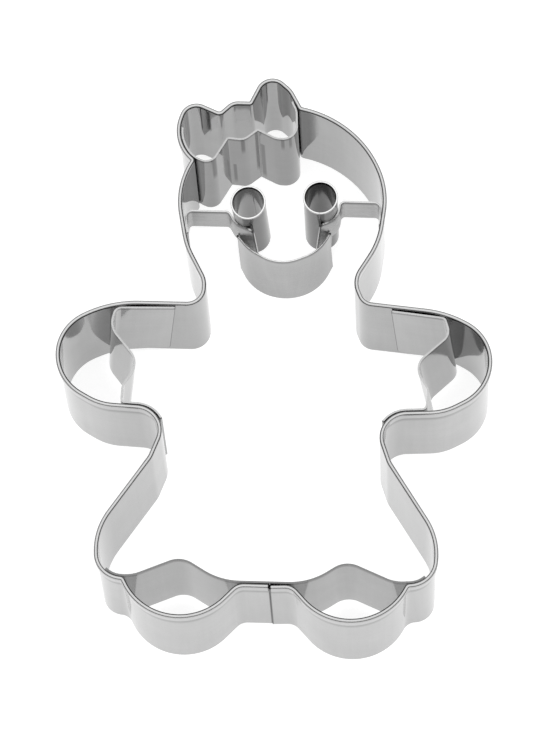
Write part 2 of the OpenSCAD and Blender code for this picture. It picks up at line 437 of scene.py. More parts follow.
@dataclass(frozen=True)
class CutEnd:
    """How one end of a strip is cut.

    Args:
        low: Length that is missing at the lower edge.
        high: Length that is missing at the upper edge.
        low_r: Radius of the lower corner.
        high_r: Radius of the upper corner.
    """

    low: float = 0.0
    high: float = 0.0
    low_r: float = 0.0
    high_r: float = 0.0

    def missing(self, z: float, bottom: float, top: float) -> float:
        """Works out how much of the strip's length is missing at a height.

        Args:
            z: The height.
            bottom: Height of the lower edge.
            top: Height of the upper edge.

        Returns:
            The missing length.
        """
        share = (z - bottom) / (top - bottom)
        length = self.low + (self.high - self.low) * share
        for radius, room in ((self.low_r, z - bottom), (self.high_r, top - z)):
            if room < radius:
                length += radius - math.sqrt(max(0.0, radius ** 2 - (radius - room) ** 2))
        return length

    @property
    def most(self) -> float:
        """The most that can be missing."""
        return max(self.low, self.high) + max(self.low_r, self.high_r)


@dataclass(frozen=True)
class Blank:
    """Flat shape that a strip has before it is bent.

    Args:
        bottom: Height of the lower edge.
        height: Height of the strip.
        start: How its first end is cut.
        end: How its last end is cut.
        step_at: Distance from the start up to which the sheet is cut away below step_z.
        step_z: Height of that step.
        flare: How much the lean gathers at the lower edge, 1 for none.
    """

    bottom: float
    height: float
    start: CutEnd = CutEnd()
    end: CutEnd = CutEnd()
    step_at: float = 0.0
    step_z: float = 0.0
    flare: float = 1.0

    @property
    def top(self) -> float:
        """Height of the upper edge."""
        return self.bottom + self.height

    def levels(self, facets: int = 6) -> list[float]:
        """Cuts the sheet into rows, which are closer at rounded corners.

        Args:
            facets: Rows in each rounded corner, and in all where the sheet flares.

        Returns:
            The heights between the rows, and of both edges.
        """
        made = {self.bottom, self.bottom + EDGE_ROW, self.top - EDGE_ROW, self.top}
        if self.flare != 1.0:
            made.update(self.bottom + self.height * k / facets for k in range(1, facets))
        if self.step_at:
            made.add(self.step_z)
        for end in (self.start, self.end):
            for k in range(1, facets + 1):
                rise = 1 - math.cos(math.radians(90 * k / facets))
                if end.low_r:
                    made.add(self.bottom + end.low_r * rise)
                if end.high_r:
                    made.add(self.top - end.high_r * rise)
        return sorted(made)

    def share(self, z: float) -> float:
        """How far height z lies from the lower edge's line towards the upper edge's."""
        return 1 - (1 - (z - self.bottom) / self.height) ** self.flare

    def squeezed(self, s: float, length: float, z: float) -> float:
        """Moves a station in from an end that is cut.

        Args:
            s: Distance of the station from the start.
            length: Length of the whole strip.
            z: Height at which it is looked for.

        Returns:
            Its distance from the start at that height.
        """
        cuts = [end.missing(z, self.bottom, self.top) for end in (self.start, self.end)]
        # The stations close up over three times the length that can be missing.
        span = 3 * max(self.start.most, self.end.most)
        if span and s < span:
            return cuts[0] + s * (span - cuts[0]) / span
        if span and length - s < span:
            return length - cuts[1] - (length - s) * (span - cuts[1]) / span
        return s


@dataclass(frozen=True)
class Mark:
    """A painted reflection: a dark upright streak on the right face of a strip.

    Args:
        at: Its distance from the strip's start.
        half: Half its width.
        low: Height at which it has faded out.
        high: Height at which it starts.
        kept: Share of the colour in it.
        tail: Height over which it fades out at its lower end.
        head: Height over which it fades out at its upper end.
    """

    at: float
    half: float
    low: float
    high: float
    kept: float
    tail: float = 2.0
    head: float = 0.3


@dataclass(frozen=True)
class Pattern:
    """A noise in the steel.

    Args:
        waves: Waves a metre along the strip, upwards and across it.
        detail: Number of finer layers in it.
        share: How much of the colour it adds and takes.
    """

    waves: tuple[float, float, float]
    detail: float
    share: float = 0.0


CLOUD = Pattern((110.0, 160.0, 1.0), 2.0, 0.03)
GRAIN = Pattern((60.0, 2600.0, 1.0), 3.0, 0.02)
RIPPLE = Pattern((800.0, 45.0, 1.0), 2.0, 0.02)
SPECK = Pattern((3500.0, 3500.0, 1.0), 2.0, 0.03)
WAVE = Pattern((70.0, 45.0, 1.0), 1.0)
BURR = Pattern((2500.0, 2500.0, 900.0), 3.0, 0.1)


class NodeTree:
    """Builds the nodes of one material, or of the world."""

    def __init__(self, owner: bpy.types.Material | bpy.types.World) -> None:
        """Empties the owner's node tree.

        Args:
            owner: The material or world.
        """
        owner.use_nodes = True
        self.owner = owner
        self.nodes, self.links = owner.node_tree.nodes, owner.node_tree.links
        self.nodes.clear()

    def node(self, kind: str, inputs: dict[int | str, Input] | None = None,
             **options: str) -> bpy.types.Node:
        """Adds a node.

        Args:
            kind: The node's type.
            inputs: What its inputs take: another node's output, or a constant.
            options: The node's own settings.

        Returns:
            The new node.
        """
        made = self.nodes.new(kind)
        for name, option in options.items():
            setattr(made, name, option)
        for name, value in (inputs or {}).items():
            if isinstance(value, Socket):
                self.links.new(value, made.inputs[name])
            else:
                made.inputs[name].default_value = value
        return made

    def attribute(self, name: str) -> Socket:
        """A vertex attribute of the mesh."""
        return self.node("ShaderNodeAttribute", attribute_name=name).outputs["Vector"]

    def split(self, vector: Socket) -> tuple[Socket, Socket, Socket]:
        """The three numbers of a vector."""
        parts = self.node("ShaderNodeSeparateXYZ", {"Vector": vector}).outputs
        return parts["X"], parts["Y"], parts["Z"]

    def noise(self, at: Socket, pattern: Pattern) -> Socket:
        """Noise with its own number of waves along each direction.

        Args:
            at: The place, in metres.
            pattern: Which noise.

        Returns:
            The noise, mostly within NOISE_RANGE.
        """
        stretch = self.node("ShaderNodeMapping", {"Vector": at, "Scale": pattern.waves})
        return self.node("ShaderNodeTexNoise", {"Vector": stretch.outputs["Vector"], "Scale": 1.0,
                                                "Detail": pattern.detail}).outputs["Fac"]

    def spread(self, value: Socket, start: tuple[float, float], end: tuple[float, float]) -> Socket:
        """Spreads a value from a start range to an end range, and holds it there."""
        ends = dict(zip(("From Min", "From Max", "To Min", "To Max"), (*start, *end)))
        return self.node("ShaderNodeMapRange", {"Value": value, **ends}).outputs["Result"]

    def varied(self, noise: Socket, mean: float, share: float) -> Socket:
        """A mean value to which the noise adds a share, or takes it away."""
        return self.spread(noise, NOISE_RANGE, (mean * (1 - share), mean * (1 + share)))

    def fade(self, value: Socket, start: float, end: float, first: float = 0.0,
             last: float = 1.0) -> Socket:
        """Fades from one number to another between two distances in millimetres."""
        return self.spread(value, (start * MM, end * MM), (first, last))

    def by_face(self, side: Socket, right: float, left: float) -> Socket:
        """One value on the sheet's right face and another on its left face."""
        return self.fade(side, -FACE_DEPTH, 0.0, right, left)

    def maths(self, operation: str, a: Socket, b: Socket) -> Socket:
        """Joins two patterns by a product or the like."""
        return self.node("ShaderNodeMath", {0: a, 1: b}, operation=operation).outputs["Value"]

    def times(self, first: Socket, *others: Socket) -> Socket:
        """The product of some patterns."""
        return functools.reduce(functools.partial(self.maths, "MULTIPLY"), others, first)

    def toned(self, tint: Socket, mask: Socket, kept: float) -> Socket:
        """The colour, of which a share is kept where the mask is 1."""
        return self.times(tint, self.spread(mask, (0.0, 1.0), (1.0, kept)))

    def with_reflection_streak(self, at: Socket, tint: Socket, painted_streak: Mark) -> Socket:
        """The colour with one painted reflection streak.

        Args:
            at: The place on the strip.
            tint: The colour.
            painted_streak: The painted reflection streak.

        Returns:
            The new colour.
        """
        s, z, side = self.split(at)
        # Painted reflection: the streak darkens the colour.
        inside = [self.fade(s, painted_streak.at + way * painted_streak.half, painted_streak.at + way * painted_streak.half / 2) for way in (-1, 1)]
        streak = self.times(self.by_face(side, 1.0, 0.0), *inside,
                            self.fade(z, painted_streak.low, painted_streak.low + painted_streak.tail),
                            self.fade(z, painted_streak.high + painted_streak.head, painted_streak.high))
        return self.toned(tint, streak, painted_streak.kept)

    def bump(self, height: Socket, depth: float, below: Socket | None = None) -> Socket:
        """Turns a pattern into a bump.

        Args:
            height: The pattern.
            depth: Its real depth in millimetres.
            below: The bump that it lies on.

        Returns:
            The bump.
        """
        inputs = {"Height": height, "Distance": depth * MM}
        if below is not None:
            inputs["Normal"] = below
        return self.node("ShaderNodeBump", inputs).outputs["Normal"]

    def metal(self, tint: Socket, rough: Socket, normal: Socket) -> bpy.types.Material:
        """Joins the patterns to a metal shader.

        Args:
            tint: Share of the light that the metal reflects.
            rough: Its roughness.
            normal: Its bump.

        Returns:
            The material.
        """
        colour = self.node("ShaderNodeCombineColor", {"Red": tint, "Green": tint, "Blue": tint})
        shader = self.node("ShaderNodeBsdfPrincipled", {
            "Metallic": 1.0, "Base Color": colour.outputs["Color"], "Roughness": rough, "Normal": normal})
        self.node("ShaderNodeOutputMaterial", {"Surface": shader.outputs["BSDF"]})
        return self.owner


@dataclass(frozen=True)
class SheetSteel:
    """Bright rolled steel sheet.

    Args:
        name: The material's name.
        colour: Share of the light that the metal reflects.
        roughness: Mean roughness.
        grain: Depth of the rolling grain, along the strip.
        ripple: Depth of the upright ripples that bending leaves.
        wave: Depth of the slow waves in the sheet.
        end_line: Width of the painted shadow line at the ends of the strip.
        end_shade: Share of the colour that this painted shadow keeps.
        edge_line: Width of the painted shade line below the strip's upper edge.
        edge_shade: Share of the colour that this painted shade keeps.
        left_shading: Share of the colour on the face to the left of travel: painted light where above 1,
            painted shade where below 1.
        left_roughness: Least roughness of that face.
        reflection_streaks: Painted reflections, dark streaks on the other face.
    """

    name: str
    colour: float
    roughness: float = 0.08
    grain: float = 0.001
    ripple: float = 0.004
    wave: float = 0.02
    end_line: float = 0.12
    end_shade: float = 0.4
    edge_line: float = 0.6
    edge_shade: float = 0.6
    left_shading: float = 1.0
    left_roughness: float = 0.0
    reflection_streaks: tuple[Mark, ...] = ()

    def make(self) -> bpy.types.Material:
        """Builds the node material.

        Returns:
            The material.
        """
        tree = NodeTree(bpy.data.materials.new(self.name))
        at = tree.attribute("strip")
        _, z, side = tree.split(at)
        from_end, from_edge, _ = tree.split(tree.attribute("margin"))
        noise = {pattern: tree.noise(at, pattern) for pattern in (CLOUD, GRAIN, RIPPLE, SPECK, WAVE)}
        tint = tree.varied(noise[CLOUD], self.colour, CLOUD.share)
        for pattern in (GRAIN, RIPPLE, SPECK):
            tint = tree.times(tint, tree.varied(noise[pattern], 1.0, pattern.share))
        # Painted shadow lines at the strip's ends, and painted shade below its upper edge.
        for distance, width, kept in ((from_end, self.end_line, self.end_shade),
                                      (from_edge, self.edge_line, self.edge_shade)):
            near, far = (share * width for share in LINE_FADE)
            tint = tree.times(tint, tree.fade(distance, near, far, kept, 1.0))
        # Painted light and shade on the face to the left of travel.
        tint = tree.times(tint, tree.by_face(side, 1.0, self.left_shading))
        # Painted reflections, as dark streaks on the right face.
        for painted_streak in self.reflection_streaks:
            tint = tree.with_reflection_streak(at, tint, painted_streak)
        rough = tree.maths("MAXIMUM", tree.varied(noise[GRAIN], self.roughness, ROUGH_SHARE),
                           tree.by_face(side, 0.0, self.left_roughness))
        normal = None
        for pattern, depth in ((WAVE, self.wave), (RIPPLE, self.ripple), (GRAIN, self.grain)):
            normal = tree.bump(noise[pattern], depth, normal)
        return tree.metal(self.tinted(tree, z, side, tint), self.roughened(tree, z, rough), normal)

    def tinted(self, tree: NodeTree, z: Socket, side: Socket, tint: Socket) -> Socket:
        """The colour with this steel's own painted light and shade."""
        return tint

    def roughened(self, tree: NodeTree, z: Socket, rough: Socket) -> Socket:
        """The roughness with this steel's own wear."""
        return rough


@dataclass(frozen=True)
class BandSteel(SheetSteel):
    """The band's steel, with painted shade under the rim and a painted shadow in the notch at the seam.

    Args:
        hem_z: Height of the folded rim's lower edge.
        hem_light: Height over which the painted shade ends above it.
        hem_shadow: Height over which the painted shade under it fades in.
        hem_shade: How much the painted shade under the rim darkens the metal.
        hem_depths: Distances from the inner face between which it sets in.
        rim_z: Height above which the metal is rubbed.
        rim_roughness: Roughness there.
        rim_fade: Height over which it sets in.
        notch: Half the width of the painted shadow in the rim's notch at the seam.
        notch_fade: Shares of this width between which it fades out.
        notch_foot: Height over which it sets in.
        notch_shadow: Share of the colour that this painted shadow keeps.
    """

    hem_z: float = 19.8
    hem_light: float = 0.5
    hem_shadow: float = 1.2
    hem_shade: float = 0.38
    hem_depths: tuple[float, float] = (0.2, 0.3)
    rim_z: float = 21.5
    rim_roughness: float = 0.2
    rim_fade: float = 0.3
    notch: float = 0.26
    notch_fade: tuple[float, float] = (0.7, 1.1)
    notch_foot: float = 0.2
    notch_shadow: float = 0.05

    def tinted(self, tree: NodeTree, z: Socket, side: Socket, tint: Socket) -> Socket:
        """Paints shade under the rim, and a shadow in the notch at the seam.

        Args:
            tree: The node tree.
            z: Height on the strip.
            side: Distance to the left of the strip's line.
            tint: The plain colour.

        Returns:
            The colour with the painted shade under the rim and the painted shadow in the notch.
        """
        hem, shadow = self.hem_z, self.hem_shadow
        shallow, deep = self.hem_depths
        near, far = (share * self.notch for share in self.notch_fade)
        # Painted shade on the outer face under the rim's fold.
        painted_shade = tree.times(tree.fade(z, hem - 2 * shadow, hem - shadow, 0.0, self.hem_shade),
                          tree.fade(z, hem, hem + self.hem_light, 1.0, 0.0),
                          tree.fade(side, -deep, -shallow, 1.0, 0.0))
        # Painted shadow in the rim's gap at the seam.
        from_end, _, _ = tree.split(tree.attribute("margin"))
        notch = tree.times(tree.fade(from_end, near, far, 1.0, 0.0),
                           tree.fade(z, hem - self.notch_foot, hem))
        return tree.toned(tree.toned(tint, painted_shade, 0.0), notch, self.notch_shadow)

    def roughened(self, tree: NodeTree, z: Socket, rough: Socket) -> Socket:
        """Blurs the rim, which hands and dough have rubbed."""
        rim = tree.fade(z, self.rim_z - self.rim_fade, self.rim_z, 0.0, self.rim_roughness)
        return tree.maths("MAXIMUM", rough, rim)


@dataclass(frozen=True)
class BowSteel(SheetSteel):
    """The bow strip's steel, with painted light behind its cutting edge.

    Args:
        bright_z: Height up to which it is brighter.
        bright_fade: Height over which that ends.
        painted_light_gain: How many times brighter the painted light makes it.
    """

    bright_z: float = 5.0
    bright_fade: float = 1.0
    painted_light_gain: float = 2.0

    def tinted(self, tree: NodeTree, z: Socket, side: Socket, tint: Socket) -> Socket:
        """Paints light on the lower part of the left face."""
        low = tree.fade(z, self.bright_z, self.bright_z + self.bright_fade, 1.0, 0.0)
        return tree.toned(tint, tree.times(low, tree.by_face(side, 0.0, 1.0)), self.painted_light_gain)


@dataclass(frozen=True)
class TubeSteel(SheetSteel):
    """The tubes' steel, with a painted highlight on the turned lip.

    Args:
        lip_z: Height at which the lip starts.
        lip_fade: Height over which it sets in.
        lip_highlight: Share of the light that the painted highlight on the lip reflects.
    """

    lip_z: float = 21.2
    lip_fade: float = 0.1
    lip_highlight: float = 0.62

    def tinted(self, tree: NodeTree, z: Socket, side: Socket, tint: Socket) -> Socket:
        """Paints a highlight on the lip."""
        lip = tree.fade(z, self.lip_z, self.lip_z + self.lip_fade, 0.0, self.lip_highlight)
        return tree.maths("MAXIMUM", tint, lip)


@dataclass(frozen=True)
class CutSteel:
    """The sheared edge of the sheet, which is duller than its faces.

    Args:
        name: The material's name.
        colour: Share of the light that it reflects.
        roughness: Mean roughness.
        burr: Depth of the burr that the shears leave.
    """

    name: str
    colour: float = 0.5
    roughness: float = 0.3
    burr: float = 0.01

    def make(self) -> bpy.types.Material:
        """Builds the node material.

        Returns:
            The material.
        """
        tree = NodeTree(bpy.data.materials.new(self.name))
        burr = tree.noise(tree.node("ShaderNodeTexCoord").outputs["Object"], BURR)
        tint = tree.varied(burr, self.colour, BURR.share)
        rough = tree.varied(burr, self.roughness, ROUGH_SHARE)
        return tree.metal(tint, rough, tree.bump(burr, self.burr))


Steel = SheetSteel | CutSteel


@dataclass(frozen=True)
class Part:
    """A finished piece.

    Args:
        piece: Its object.
        slot: The record's material slot; not used.
        steels: Finish of its faces, and of its cut edges where it has them.
        node: The node that it replaces, if any.
    """

    piece: bpy.types.Object
    slot: Slot
    steels: tuple[Steel, ...]
    node: str = ""


class SheetMesh:
    """A mesh that notes where on the flat sheet each of its vertices lies."""

    def __init__(self, middle: Vector) -> None:
        """Starts an empty mesh.

        Args:
            middle: The figure's middle, in the pattern.
        """
        self.middle = middle
        self.mesh = bmesh.new()
        layers = self.mesh.verts.layers.float_vector
        self.strip = layers.new("strip")
        self.margin = layers.new("margin")

    def vert(self, at: Row, strip: Row, from_end: float,
             from_edge: float = EDGE_ROW) -> bmesh.types.BMVert:
        """Adds a vertex.

        Args:
            at: Its place in the pattern, and its height.
            strip: Its distance along the strip, its height on it and how far left it lies.
            from_end: Its distance from the nearer end of the strip.
            from_edge: Its distance below the upper edge.

        Returns:
            The vertex, in metres and in the row's frame.
        """
        x, y, z = at
        made = self.mesh.verts.new(Vector((x - self.middle.x, y - self.middle.y, z)) * MM)
        made[self.strip] = Vector(strip) * MM
        made[self.margin] = Vector((from_end, from_edge, 0.0)) * MM
        return made

    def skin(self, rings: Sequence[Sequence[bmesh.types.BMVert]]) -> None:
        """Joins each ring of vertices to the next one.

        Args:
            rings: The rings, each with as many vertices.
        """
        for a, b in zip(rings, rings[1:]):
            for j in range(len(a)):
                k = (j + 1) % len(a)
                self.mesh.faces.new((a[j], a[k], b[k], b[j]))

    def ease(self, radius: float, sharp_from: float = 55.0) -> None:
        """Rounds the cut edges of the sheet.

        Args:
            radius: Width of the rounding.
            sharp_from: Least angle between two faces at a cut edge, in degrees.
        """
        self.mesh.normal_update()
        cut = [e for e in self.mesh.edges if e.calc_face_angle(0.0) > math.radians(sharp_from)]
        bmesh.ops.bevel(self.mesh, geom=cut, offset=radius * MM, offset_type="OFFSET", segments=2,
                        profile=0.5, affect="EDGES", clamp_overlap=True, material=0)

    def finish(self, name: str, sharp_from: float = 20.0) -> bpy.types.Object:
        """Cleans the mesh, shades it smooth between its sharp edges and makes its object.

        Args:
            name: The piece's name.
            sharp_from: Least angle between two faces at an edge that stays sharp, in degrees.

        Returns:
            The new mesh object.
        """
        mesh = self.mesh
        bmesh.ops.remove_doubles(mesh, verts=mesh.verts, dist=MERGE * MM)
        bmesh.ops.recalc_face_normals(mesh, faces=mesh.faces)
        for face in mesh.faces:
            face.smooth = True
        for edge in mesh.edges:
            edge.smooth = edge.calc_face_angle(math.pi) < math.radians(sharp_from)
        data = bpy.data.meshes.new(name)
        mesh.to_mesh(data)
        mesh.free()
        return linked(name, data)


@dataclass(frozen=True)
class Workshop:
    """Turns bends, blanks and profiles into meshes in the row's frame.

    Args:
        middle: The figure's middle, in the pattern.
        thickness: Thickness of the sheet.
        ease: Radius of the sheet's cut edges.
    """

    middle: Vector
    thickness: float
    ease: float

    def plate(self, name: str, lower: Bend, blank: Blank, upper: Bend | None = None) -> bpy.types.Object:
        """Bends a flat blank along a line.

        Args:
            name: The piece's name.
            lower: Bend of the blank's lower edge.
            blank: The flat shape.
            upper: Bend of its upper edge, where it differs.

        Returns:
            The new mesh object.
        """
        lower = lower.eased()
        upper = upper.eased() if upper else lower
        plan = upper.plan()
        track = Track.of(upper.points(plan))
        faces = [(lower.beside(d).points(plan), upper.beside(d).points(plan), d)
                 for d in (self.thickness / 2, -self.thickness / 2)]
        stations = sorted({*track.along, blank.step_at}) if blank.step_at else track.along
        levels = blank.levels()
        sheet = SheetMesh(self.middle)

        @functools.cache
        def vert(i: int, j: int, k: int) -> bmesh.types.BMVert:
            """Makes a vertex where it is first asked for.

            Args:
                i: Number of its station.
                j: Number of its level.
                k: 0 for the sheet's left face, 1 for its right face.

            Returns:
                The vertex.
            """
            z = levels[j]
            s = blank.squeezed(stations[i], track.length, z)
            number = track.number(s)
            below, above, d = faces[k]
            p = between(below, number).lerp(between(above, number), blank.share(z))
            from_end = min(stations[i], track.length - stations[i])
            return sheet.vert((p.x, p.y, z), (s, z, d), from_end, min(blank.top - z, EDGE_ROW))

        cells = {(i, j) for i in range(len(stations) - 1) for j in range(len(levels) - 1)
                 if not (stations[i + 1] <= blank.step_at and levels[j + 1] <= blank.step_z)}
        for i, j in cells:
            ring = [(i, j), (i + 1, j), (i + 1, j + 1), (i, j + 1)]
            sheet.mesh.faces.new([vert(*at, 0) for at in ring])
            sheet.mesh.faces.new([vert(*at, 1) for at in reversed(ring)])
            beyond = [(i, j - 1), (i + 1, j), (i, j + 1), (i - 1, j)]
            for a, b, cell in zip(ring, [*ring[1:], ring[0]], beyond):
                if cell not in cells:
                    cut = sheet.mesh.faces.new((vert(*b, 0), vert(*a, 0), vert(*a, 1), vert(*b, 1)))
                    cut.material_index = 1
        sheet.ease(self.ease)
        return sheet.finish(name)

    def sweep(self, name: str, bend: Bend, profile: Profile, ends: CutEnd = CutEnd()) -> bpy.types.Object:
        """Sweeps a profile along a bend.

        Args:
            name: The piece's name.
            bend: The line that the profile follows.
            profile: Cross-section of the strip.
            ends: How its two ends are cut, within their straight pieces.

        Returns:
            The new mesh object.
        """
        bend = bend.eased()
        plan = bend.plan()
        heights = [z for _, z in profile.points]
        bottom, top = min(heights), max(heights)
        lines = [bend.softer((top - z) / (top - bottom)).eased().beside(d).points(plan)
                 for d, z in profile.points]
        along = Track.of(bend.points(plan)).along
        inwards = {0: bend.heading(0), len(along) - 1: -bend.heading(bend.last - 1)}
        sheet = SheetMesh(self.middle)
        rings = []
        for i, s in enumerate(along):
            ring = []
            for line, (d, z) in zip(lines, profile.points):
                p = line[i]
                if i in inwards:
                    p = p + inwards[i] * ends.missing(z, bottom, top)
                ring.append(sheet.vert((p.x, p.y, z), (s, z, d), min(s, along[-1] - s)))
            rings.append(ring)
        sheet.skin(rings)
        sheet.mesh.faces.new(rings[0])
        sheet.mesh.faces.new(rings[-1])
        return sheet.finish(name)

    def revolve(self, name: str, at: Vector, profile: Profile, pivot: float = 0.0,
                lean: float = 0.0, groove_at: float | None = None, groove: float = 0.0,
                oval: float = 1.0, facets: int = 160) -> bpy.types.Object:
        """Turns a profile round an upright axis, then leans it.

        Args:
            name: The piece's name.
            at: Place of the axis.
            profile: (radius, height) outline.
            pivot: Height that stays in place as the piece leans.
            lean: Lean about X and backwards about Y, in degrees.
            groove_at: Direction of an upright groove, in degrees from +X.
            groove: Depth of the groove in both sides of the wall.
            oval: How much longer it is along Y than along X.
            facets: Facets round the axis.

        Returns:
            The new mesh object.
        """
        turn = math.radians(lean)
        tilt = Matrix.Rotation(-turn, 3, "Y") @ Matrix.Rotation(turn, 3, "X")
        radii = [r for r, _ in profile.points]
        wall = (min(radii) + max(radii)) / 2
        grooved = None if groove_at is None else round(groove_at / 360 * facets) % facets
        sheet = SheetMesh(self.middle)
        rings = []
        for i in range(facets):
            angle = 360 * i / facets
            depth = groove if i == grooved else 0.0
            ring = []
            for r, z in profile.points:
                flat = unit_at(angle) * (r - math.copysign(depth, r - wall))
                p = tilt @ Vector((flat.x, flat.y * oval, z - pivot))
                ring.append(sheet.vert((at.x + p.x, at.y + p.y, pivot + p.z),
                                       (math.radians(angle) * wall, z, wall - r), EDGE_ROW))
            rings.append(ring)
        sheet.skin([*rings, rings[0]])
        return sheet.finish(name)


@dataclass
class OuterBand:
    """The band that cuts the figure, with its folded rim and its seam.

    Widths and spans are full ones. Values named _y are heights in the pattern above the seam, and
    the rows of corners are (x, y, radius) from the middle of the figure, measured on the inner face.
    """

    thickness: float = 0.35
    ease: float = 0.12
    weld_gap: float = 0.1
    height: float = 22.0
    rim_width: float = 0.85
    rim_height: float = 2.2
    rim_pinch: float = 0.1
    seam_gap: float = 0.01
    seam_x: float = 0.85
    seam_y: float = 0.3
    seam_step: float = 0.18
    seam_slant: float = 0.02
    arm_span: float = 77.6
    skirt_width: float = 60.0
    waist_width: float = 35.3
    waist_gap: float = 13.4
    neck_width: float = 26.2
    neck_height: float = 4.0
    head_width: float = 38.0
    foot_drop: float = 14.7
    hem_y: float = 1.2
    waist_y: float = 33.6
    shoulder_y: float = 54.0
    crown_y: float = 92.2
    bow_rise: float = 7.6
    # Painted shade darkens the band's inner face, and a painted shadow line darkens its ends at the seam.
    steel: BandSteel = BandSteel("band_steel", 0.44, end_line=0.17, end_shade=0.1, left_shading=0.84)

    def __post_init__(self) -> None:
        """Works out the half widths and the band's line, and sets up its workshop."""
        self.hand_x = self.arm_span / 2
        self.skirt_x = self.skirt_width / 2
        self.waist_x = self.waist_width / 2
        self.neck_x = self.neck_width / 2
        self.head_x = self.head_width / 2
        self.lap = self.weld_gap + self.thickness / 2
        self.wall = self._wall(0.0)
        self.shop = Workshop(self._middle(), self.thickness, self.ease)

    def _right_half(self) -> list[Row]:
        """Foot, skirt, waist and arm on the right, from the seam upwards.

        Returns:
            Their corners.
        """
        return [
            (4.95, self.seam_y, 3.0),
            (17.7, self.hem_y - self.foot_drop, 10.6),
            (25.2, self.hem_y - 0.15, 1.1, 2.6),
            (self.skirt_x - 0.4, self.hem_y + 0.2, 4.4),
            (self.skirt_x + 0.3, self.hem_y + 8.3, 12.2),
            (self.waist_x + 3.5, self.waist_y - 10, 5.0),
            (self.waist_x, self.waist_y - 0.2, 5.0),
            (self.waist_x + self.waist_gap, self.waist_y + 0.5, 10.0),
            (self.hand_x - 0.2, self.waist_y + 4.8, 8.7),
            (self.hand_x + 0.3, self.shoulder_y - 5.9, 8.0)]

    def _right_head(self) -> list[Row]:
        """Neck and head on the right, up to the bow.

        Returns:
            Their corners.
        """
        return [
            (self.neck_x + 2.6, self.shoulder_y + 0.1, 3.0),
            (self.neck_x + 0.5, self.shoulder_y + 5, 5.1),
            (self.head_x - 0.9, self.shoulder_y + 12.8, 15.7),
            (self.head_x + 0.25, self.crown_y - 15.2, 16.6),
            (self.head_x - 5.55, self.crown_y - 1.7, 21.0),
            (2.85, self.crown_y + 0.5, 1.2)]

    def _bow(self) -> list[Row]:
        """The bow's upper outline, from right to left.

        Returns:
            Its corners.
        """
        top = self.crown_y
        return [
            (0.85, top + self.bow_rise - 3.4, 4.6),
            (-3.0, top + self.bow_rise, 2.3),
            (-5.8, top + 1.3, 0.8),
            (-9.2, top + 1.3, 1.9),
            (-11.6, top - 1.1, 1.4),
            (-17.5, top + 1.5, 2.3),
            (-19.9, top - 6.1, 8.0),
            (-15.8, top - 9.9, 1.1)]

    def _left_head(self) -> list[Row]:
        """Head, neck and shoulder on the left, from the bow downwards.

        Returns:
            Their corners.
        """
        return [
            (0.25 - self.head_x, self.crown_y - 15.3, 19.5),
            (2.6 - self.head_x, self.shoulder_y + 11.3, 15.4),
            (0.3 - self.neck_x, self.shoulder_y + 4.5, 5.1),
            (0.2 - self.neck_x, self.shoulder_y - 0.8, 3.5),
            (8.6 - self.hand_x, self.shoulder_y - 0.8, 20.0)]

    def _wall(self, step: float) -> Bend:
        """The band's inner face, from the seam round the right side and back.

        Args:
            step: How far the right end stands out at the seam.

        Returns:
            The closed line, open only at the seam.
        """
        right = self._right_half()
        left = [(-x, *rest) for x, *rest in reversed(right)]
        shoulder = (self.hand_x - 7.6, self.shoulder_y - 1.4, 18.7)
        start = (self.seam_x + self.seam_gap / 2, self.seam_y - step, 0.0)
        end = (self.seam_x - self.seam_gap / 2, self.seam_y, 0.0)
        rows = [start, *right, shoulder, *self._right_head(), *self._bow(), *self._left_head(), *left, end]
        return Bend.through(rows).eased()

    @property
    def right_arm(self) -> int:
        """Number of the corner on the right shoulder."""
        return len(self._right_half()) + 1

    @property
    def left_neck(self) -> int:
        """Number of the corner between the neck and the left shoulder."""
        return self.wall.last - 1 - self.right_arm

    @property
    def bow_foot(self) -> int:
        """Number of the corner where the bow leaves the crown."""
        return self.right_arm + len(self._right_head())

    @property
    def bow_cheek(self) -> int:
        """Number of the bow's corner furthest to the left."""
        return self.bow_foot + len(self._bow()) - 1

    def _middle(self) -> Vector:
        """Finds the middle of the box round the folded rim.

        Returns:
            The middle, in the pattern.
        """
        line = self.wall.beside(-self.rim_width)
        points = line.points(line.plan(3 * FACET_TURN, WHOLE))
        xs, ys = [p.x for p in points], [p.y for p in points]
        return Vector(((min(xs) + max(xs)) / 2, (min(ys) + max(ys)) / 2))

    def wall_point(self, side: Side, y: float) -> Corner:
        """A corner that lies against the head's inner wall.

        Args:
            side: Which wall.
            y: Height above the seam.

        Returns:
            The corner, with no rounding.

        Raises:
            ValueError: The wall doesn't reach that height.
        """
        line = self.wall.points(self.wall.plan(stretch=WHOLE))
        for p, q in zip(line, line[1:]):
            on_head = side.value * p.x > self.neck_x and p.y > self.shoulder_y + self.neck_height
            if on_head and p.y != q.y and (p.y - y) * (q.y - y) <= 0:
                at = p.lerp(q, (y - p.y) / (q.y - p.y)) + left_of((q - p).normalized()) * self.lap
                return Corner(at.x, at.y)
        raise ValueError(f"the head's wall has no point at height {y}")

    def _profile(self) -> Profile:
        """Wall and rim: the sheet is folded outwards and down, and pinched at its edge.

        Returns:
            The band's cross-section.
        """
        t, e, h = self.thickness, self.ease / 2, self.height
        fold = self.rim_width / 2
        hem = h - self.rim_height
        pinched = self.rim_width - self.rim_pinch
        throat = h - 1.5 * fold
        return Profile.rounded([
            (0.0, 0.0, e), (0.0, h, fold), (-self.rim_width, h, fold), (-pinched, hem, 1.5 * e),
            (t - pinched, hem, e), (t - self.rim_width, throat, e / 2), (-t, throat, e / 2), (-t, 0.0, e)],
            facets=6)

    def build(self) -> list[Part]:
        """Makes the band.

        Returns:
            The finished piece, on its own.
        """
        cut = CutEnd(high=self.seam_slant)
        piece = self.shop.sweep("outer_band_sheet", self._wall(self.seam_step), self._profile(), cut)
        return [Part(piece, Slot.BAND, (self.steel,), "outer_band")]


